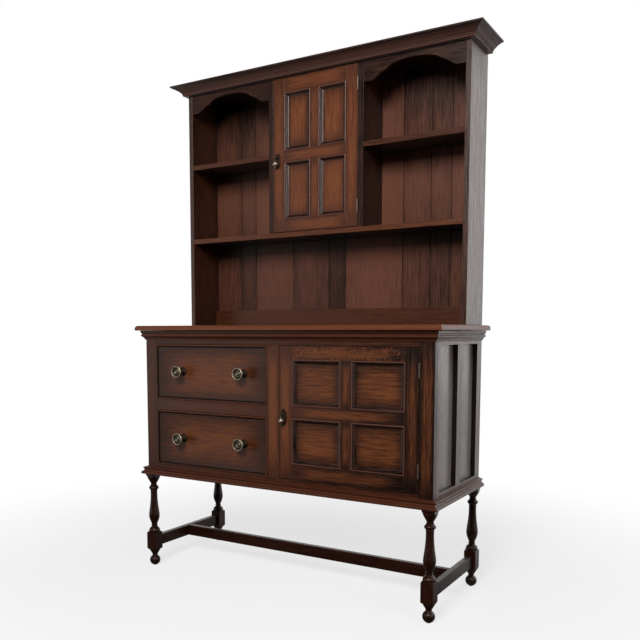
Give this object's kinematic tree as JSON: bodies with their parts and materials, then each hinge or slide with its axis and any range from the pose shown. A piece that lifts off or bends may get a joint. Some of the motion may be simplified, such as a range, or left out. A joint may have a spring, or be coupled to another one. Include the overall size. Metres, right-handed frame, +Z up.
{
  "type": "kitchen dresser",
  "caption": "Dark oak kitchen dresser: a drawer and cupboard base on turned legs with stretchers, under a plate rack with shelves, arched valances and a panelled cupboard.",
  "frame": {"origin": "centre of the overall footprint, on the floor", "axes": "+Z up; +Y towards the back; +X towards the viewer's right when facing the front"},
  "size_m": [1.264, 0.4764, 1.8696],
  "materials": {
    "aged_brass": "aged brass, worn bright on the high spots",
    "dark_stained_oak": "dark brown stained and waxed oak, satin",
    "darkened_hinge_brass": "brass darkened to a dull brown",
    "oak_backboards": "thinly stained oak boards, dull satin",
    "plywood_back": "bare plywood, matt",
    "rubbed_oak_fronts": "stained oak rubbed to a warmer brown, satin",
    "unpolished_drawer_wood": "bare pale hardwood, matt"
  },
  "bodies": {
    "carcass": {"base_back_panel": "plywood_back", "base_floor": "unpolished_drawer_wood", "base_front_frame": "dark_stained_oak", "base_moulding": "dark_stained_oak", "base_partition": "unpolished_drawer_wood", "base_side_frame_left": "dark_stained_oak", "base_side_frame_right": "dark_stained_oak", "base_side_panel_left": "dark_stained_oak", "base_side_panel_right": "dark_stained_oak", "centre_stretcher": "dark_stained_oak", "leg_back_left": "dark_stained_oak", "leg_back_right": "dark_stained_oak", "leg_front_left": "dark_stained_oak", "leg_front_right": "dark_stained_oak", "lower_door_bottom_hinge_fixed_leaf": "darkened_hinge_brass", "lower_door_top_hinge_fixed_leaf": "darkened_hinge_brass", "lower_drawer_guide_left": "unpolished_drawer_wood", "rack_back_rail": "dark_stained_oak", "rack_backboards": "oak_backboards", "rack_cornice": "dark_stained_oak", "rack_divider_left": "dark_stained_oak", "rack_divider_right": "dark_stained_oak", "rack_long_shelf": "dark_stained_oak", "rack_short_shelf_left": "dark_stained_oak", "rack_short_shelf_right": "dark_stained_oak", "rack_side_left": "dark_stained_oak", "rack_side_right": "dark_stained_oak", "rack_top_board": "dark_stained_oak", "rack_valance_left": "dark_stained_oak", "rack_valance_right": "dark_stained_oak", "side_stretcher_left": "dark_stained_oak", "side_stretcher_right": "dark_stained_oak", "upper_door_bottom_hinge_fixed_leaf": "darkened_hinge_brass", "upper_door_top_hinge_fixed_leaf": "darkened_hinge_brass", "upper_drawer_runner_left": "unpolished_drawer_wood", "upper_drawer_runner_right": "unpolished_drawer_wood", "worktop": "dark_stained_oak", "worktop_moulding": "dark_stained_oak"},
    "upper_drawer": {"upper_drawer_front": "rubbed_oak_fronts", "upper_drawer_box": "unpolished_drawer_wood", "upper_drawer_bottom": "unpolished_drawer_wood", "upper_drawer_knob_left": "aged_brass", "upper_drawer_knob_right": "aged_brass"},
    "lower_drawer": {"lower_drawer_front": "rubbed_oak_fronts", "lower_drawer_box": "unpolished_drawer_wood", "lower_drawer_bottom": "unpolished_drawer_wood", "lower_drawer_knob_left": "aged_brass", "lower_drawer_knob_right": "aged_brass"},
    "upper_door": {"upper_door_frame": "rubbed_oak_fronts", "upper_door_panel": "rubbed_oak_fronts", "upper_door_handle_plate": "aged_brass", "upper_door_top_hinge_door_leaf": "darkened_hinge_brass", "upper_door_bottom_hinge_door_leaf": "darkened_hinge_brass"},
    "upper_door_drop_handle": {"upper_door_drop": "aged_brass"},
    "lower_door": {"lower_door_frame": "rubbed_oak_fronts", "lower_door_panel": "rubbed_oak_fronts", "lower_door_handle_plate": "aged_brass", "lower_door_top_hinge_door_leaf": "darkened_hinge_brass", "lower_door_bottom_hinge_door_leaf": "darkened_hinge_brass"},
    "lower_door_drop_handle": {"lower_door_drop": "aged_brass"}
  },
  "joints": [
    {"name": "upper_drawer_slide", "type": "slide", "parent": "carcass", "child": "upper_drawer", "axis": [0, -1, 0], "range_m": [0, 0.3]},
    {"name": "lower_drawer_slide", "type": "slide", "parent": "carcass", "child": "lower_drawer", "axis": [0, -1, 0], "range_m": [0, 0.3]},
    {"name": "lower_door_hinge", "type": "hinge", "parent": "carcass", "child": "lower_door", "pos_m": [0.531, -0.20235, 0.6315], "axis": [0, 0, 1], "range_deg": [0, 110]},
    {"name": "upper_door_hinge", "type": "hinge", "parent": "carcass", "child": "upper_door", "pos_m": [0.1765, 0.06665, 1.5546], "axis": [0, 0, 1], "range_deg": [0, 110]},
    {"name": "lower_door_drop_swing", "type": "hinge", "parent": "lower_door", "child": "lower_door_drop_handle", "pos_m": [0.039, -0.21515, 0.6295], "axis": [-1, 0, 0], "range_deg": [0, 80]},
    {"name": "upper_door_drop_swing", "type": "hinge", "parent": "upper_door", "child": "upper_door_drop_handle", "pos_m": [-0.1575, 0.05385, 1.5486], "axis": [-1, 0, 0], "range_deg": [0, 80]}
  ]
}
